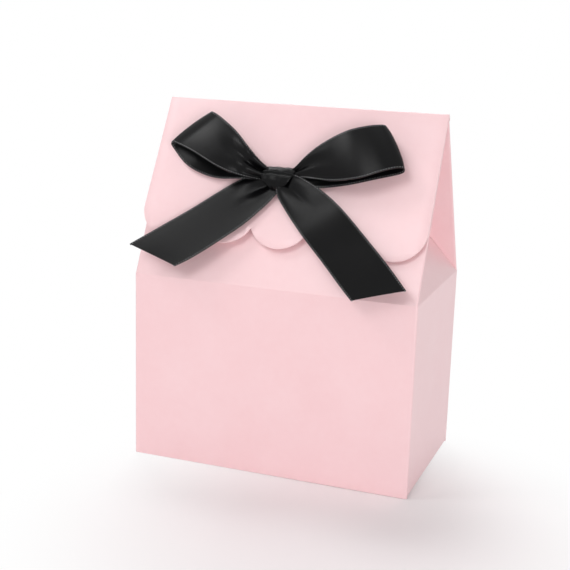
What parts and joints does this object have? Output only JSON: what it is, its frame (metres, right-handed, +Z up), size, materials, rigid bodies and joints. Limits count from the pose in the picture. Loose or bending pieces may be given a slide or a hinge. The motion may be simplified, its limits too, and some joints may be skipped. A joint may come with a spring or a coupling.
{
  "type": "favour box",
  "caption": "Folded paperboard favour box with a tent roof, inward side gussets, a scalloped closing flap hinged at the ridge and a satin ribbon bow.",
  "frame": {"origin": "middle of the base, on the surface that the box stands on", "axes": "+Z up, +X to the right as seen from the front, the front with the flap and the bow faces -Y"},
  "size_m": [0.1038, 0.0681, 0.1271],
  "materials": {
    "board": "matte uncoated pale pink paperboard",
    "board_inside": "matte pale pink paperboard, inner side",
    "ribbon_satin": "black single-face satin with fine woven edges"
  },
  "bodies": {
    "carton": {"front_panel": "board", "back_panel": "board", "left_side_panel": "board", "right_side_panel": "board", "glue_seam_tab": "board_inside"},
    "bottom": {"bottom_panel": "board"},
    "tuck_tab": {"tuck_tab": "board_inside"},
    "left_dust_flap": {"left_dust_flap": "board_inside"},
    "right_dust_flap": {"right_dust_flap": "board_inside"},
    "front_roof": {"front_roof_panel": "board"},
    "back_roof": {"back_roof_panel": "board"},
    "left_gusset": {"left_gusset_triangle": "board"},
    "right_gusset": {"right_gusset_triangle": "board"},
    "left_front_half": {"left_front_half_gusset": "board"},
    "left_back_half": {"left_back_half_gusset": "board"},
    "right_front_half": {"right_front_half_gusset": "board"},
    "right_back_half": {"right_back_half_gusset": "board"},
    "flap": {"closure_flap": "board", "ribbon_knot": "ribbon_satin", "ribbon_left_loop": "ribbon_satin", "ribbon_right_loop": "ribbon_satin", "ribbon_left_tail": "ribbon_satin", "ribbon_right_tail": "ribbon_satin", "ribbon_rear_strand": "ribbon_satin"}
  },
  "joints": [
    {"name": "flap_crease", "type": "hinge", "parent": "back_roof", "child": "flap", "pos_m": [0, -0.00022, 0.12717], "axis": [-1, 0, 0], "range_deg": [0, 170]},
    {"name": "back_roof_crease", "type": "hinge", "parent": "carton", "child": "back_roof", "pos_m": [0, 0.029, 0.067], "axis": [-1, 0, 0], "range_deg": [0, 20]},
    {"name": "front_roof_crease", "type": "hinge", "parent": "carton", "child": "front_roof", "pos_m": [0, -0.029, 0.067], "axis": [1, 0, 0], "range_deg": [0, 20]},
    {"name": "right_gusset_crease", "type": "hinge", "parent": "carton", "child": "right_gusset", "pos_m": [0.0505, 0, 0.067], "axis": [0, 1, 0], "range_deg": [0, 13.55]},
    {"name": "left_gusset_crease", "type": "hinge", "parent": "carton", "child": "left_gusset", "pos_m": [-0.0505, 0, 0.067], "axis": [0, -1, 0], "range_deg": [0, 13.55]},
    {"name": "right_back_half_crease", "type": "hinge", "parent": "back_roof", "child": "right_back_half", "pos_m": [0.0505, 0.029, 0.067], "axis": [0, -0.4435, 0.8963], "range_deg": [0, 40.82]},
    {"name": "left_back_half_crease", "type": "hinge", "parent": "back_roof", "child": "left_back_half", "pos_m": [-0.0505, 0.029, 0.067], "axis": [0, 0.4435, -0.8963], "range_deg": [0, 40.82]},
    {"name": "right_front_half_crease", "type": "hinge", "parent": "front_roof", "child": "right_front_half", "pos_m": [0.0505, -0.029, 0.067], "axis": [0, -0.4435, -0.8963], "range_deg": [0, 40.82]},
    {"name": "left_front_half_crease", "type": "hinge", "parent": "front_roof", "child": "left_front_half", "pos_m": [-0.0505, -0.029, 0.067], "axis": [0, 0.4435, 0.8963], "range_deg": [0, 40.82]},
    {"name": "bottom_crease", "type": "hinge", "parent": "carton", "child": "bottom", "pos_m": [0, 0.029, 0.0005], "axis": [1, 0, 0], "range_deg": [0, 90]},
    {"name": "tuck_tab_crease", "type": "hinge", "parent": "bottom", "child": "tuck_tab", "pos_m": [0, -0.0283, 0.0005], "axis": [-1, 0, 0], "range_deg": [0, 22.5]},
    {"name": "right_dust_flap_crease", "type": "hinge", "parent": "carton", "child": "right_dust_flap", "pos_m": [0.0505, 0, 0.0012], "axis": [0, -1, 0], "range_deg": [0, 81]},
    {"name": "left_dust_flap_crease", "type": "hinge", "parent": "carton", "child": "left_dust_flap", "pos_m": [-0.0505, 0, 0.0012], "axis": [0, 1, 0], "range_deg": [0, 81]}
  ],
  "couplings": [
    {"joint": "back_roof_crease", "follows": "flap_crease", "ratio": 0.11765},
    {"joint": "front_roof_crease", "follows": "flap_crease", "ratio": 0.11765},
    {"joint": "right_gusset_crease", "follows": "flap_crease", "ratio": 0.079706},
    {"joint": "left_gusset_crease", "follows": "flap_crease", "ratio": 0.079706},
    {"joint": "right_back_half_crease", "follows": "flap_crease", "ratio": 0.24012},
    {"joint": "left_back_half_crease", "follows": "flap_crease", "ratio": 0.24012},
    {"joint": "right_front_half_crease", "follows": "flap_crease", "ratio": 0.24012},
    {"joint": "left_front_half_crease", "follows": "flap_crease", "ratio": 0.24012},
    {"joint": "tuck_tab_crease", "follows": "bottom_crease", "ratio": 0.25},
    {"joint": "right_dust_flap_crease", "follows": "bottom_crease", "ratio": 0.9},
    {"joint": "left_dust_flap_crease", "follows": "bottom_crease", "ratio": 0.9}
  ]
}
